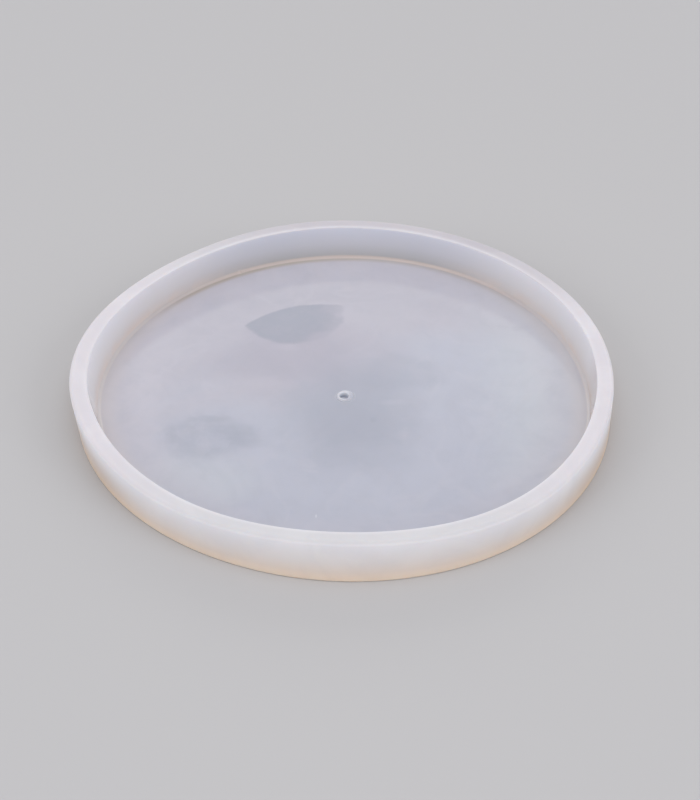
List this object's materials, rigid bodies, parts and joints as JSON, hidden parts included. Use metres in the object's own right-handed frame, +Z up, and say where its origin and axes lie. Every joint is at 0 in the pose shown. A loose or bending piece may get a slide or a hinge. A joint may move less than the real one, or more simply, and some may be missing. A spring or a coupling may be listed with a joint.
{
  "type": "resin casting mould",
  "caption": "Round shallow tray mould of translucent white silicone for casting resin discs, with a thick flat-topped wall and a small raised ring in the middle of its floor.",
  "frame": {"origin": "middle of the flat underside, on the axis of the round tray", "axes": "+Z up, out of the open side of the tray along its axis; +X and +Y lie in the plane that the tray rests on"},
  "size_m": [0.3, 0.3, 0.025],
  "materials": {
    "silicone_tray": "translucent white silicone: glossy on the cavity floor, satin on the rim and the outer wall",
    "silicone_ring": "denser white silicone, satin"
  },
  "bodies": {
    "root": {"mould_tray": "silicone_tray", "centre_ring": "silicone_ring"}
  },
  "joints": []
}
